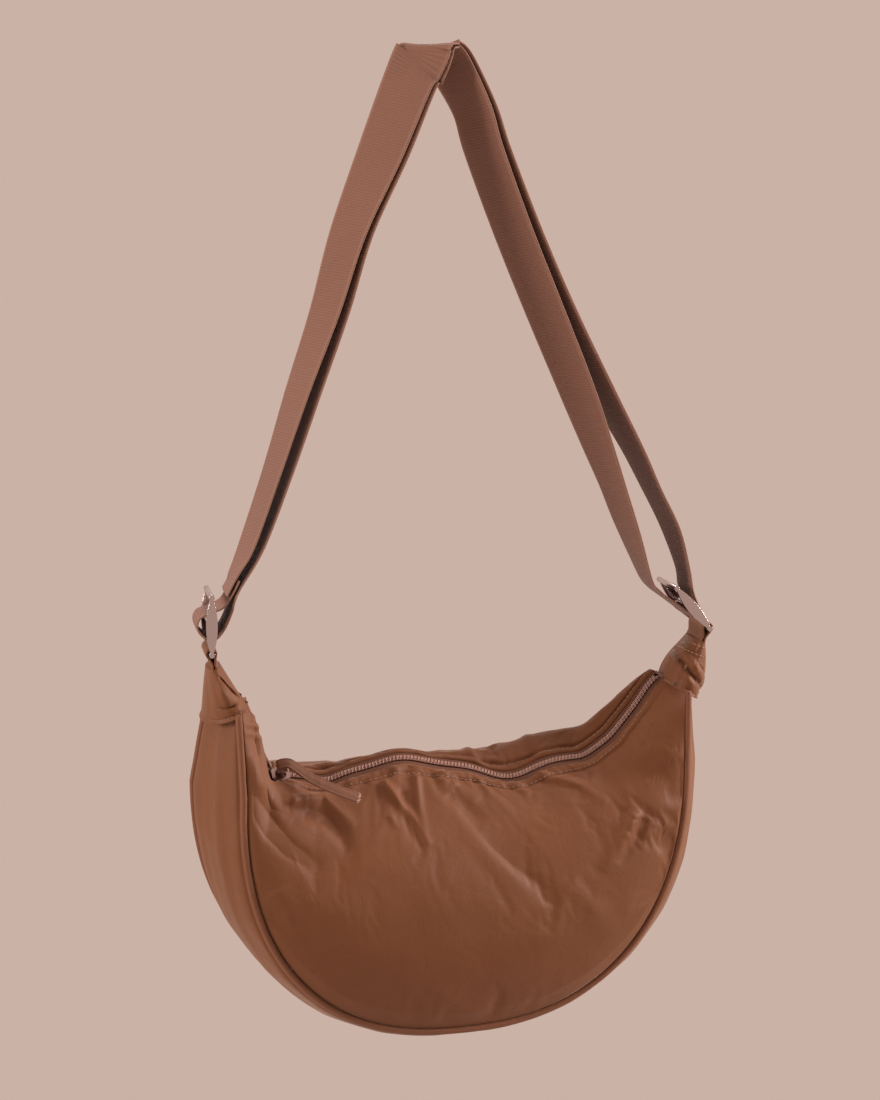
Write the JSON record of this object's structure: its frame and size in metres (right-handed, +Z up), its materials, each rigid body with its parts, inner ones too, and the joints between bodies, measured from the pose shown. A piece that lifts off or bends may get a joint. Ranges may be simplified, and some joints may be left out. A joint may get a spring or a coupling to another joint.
{
  "type": "handbag",
  "caption": "Crescent shoulder bag of padded cloth with a curved top zip, piped gusset, gathered ends and a doubled webbing strap through two metal strap sliders.",
  "frame": {"origin": "underside of the strap's fold, where the hook or shoulder carries it", "axes": "+X to the viewer's right along the zip, +Y from the front panel to the back panel, +Z up"},
  "size_m": [0.345, 0.0879, 0.618],
  "materials": {
    "shell_cloth": "matt woven cloth with a soft sheen, padded and wrinkled",
    "piping_cloth": "bias-cut strip of the shell cloth over a cord",
    "lining_cloth": "thin plain-woven lining",
    "zip_tape": "close herringbone tape",
    "zip_coil": "satin moulded coil",
    "zip_metal": "bright plated",
    "webbing": "ribbed webbing, fine cross ribs and a plain edge",
    "bright_metal": "bright plated, polished"
  },
  "bodies": {
    "strap": {"strap_webbing": "webbing", "left_slider": "bright_metal", "right_slider": "bright_metal"},
    "bag": {"front_panel": "shell_cloth", "back_panel": "shell_cloth", "gusset": "shell_cloth", "front_piping": "piping_cloth", "back_piping": "piping_cloth", "lining_front": "lining_cloth", "lining_back": "lining_cloth", "lining_gusset": "lining_cloth", "inner_pocket": "lining_cloth", "zip_tape_front": "zip_tape", "zip_tape_back": "zip_tape", "zip_coil_front": "zip_coil", "zip_coil_back": "zip_coil", "zip_top_stops": "zip_metal", "zip_bottom_stop": "zip_metal", "left_end_cap": "shell_cloth", "right_end_cap": "shell_cloth", "left_tab": "shell_cloth", "right_tab": "shell_cloth"},
    "zip_slider": {"zip_slider": "zip_metal"},
    "pull": {"pull_ring": "zip_metal", "pull_tab": "shell_cloth"}
  },
  "joints": [
    {"name": "bag_swing", "type": "hinge", "parent": "strap", "child": "bag", "pos_m": [0.02, -0.001, -0.3603], "axis": [1, 0, 0], "range_deg": [-90, 90], "deforming": ["left_tab", "right_tab", "left_end_cap", "right_end_cap"]},
    {"name": "zip_travel", "type": "slide", "parent": "bag", "child": "zip_slider", "axis": [1, 0, 0], "range_m": [0, 0.195], "deforming": ["zip_coil_front", "zip_coil_back", "pull_tab"]},
    {"name": "pull_flip", "type": "hinge", "parent": "zip_slider", "child": "pull", "pos_m": [-0.09595, -0.00284, -0.43916], "axis": [0, 0.7071, 0.7071], "range_deg": [-45, 0]}
  ]
}
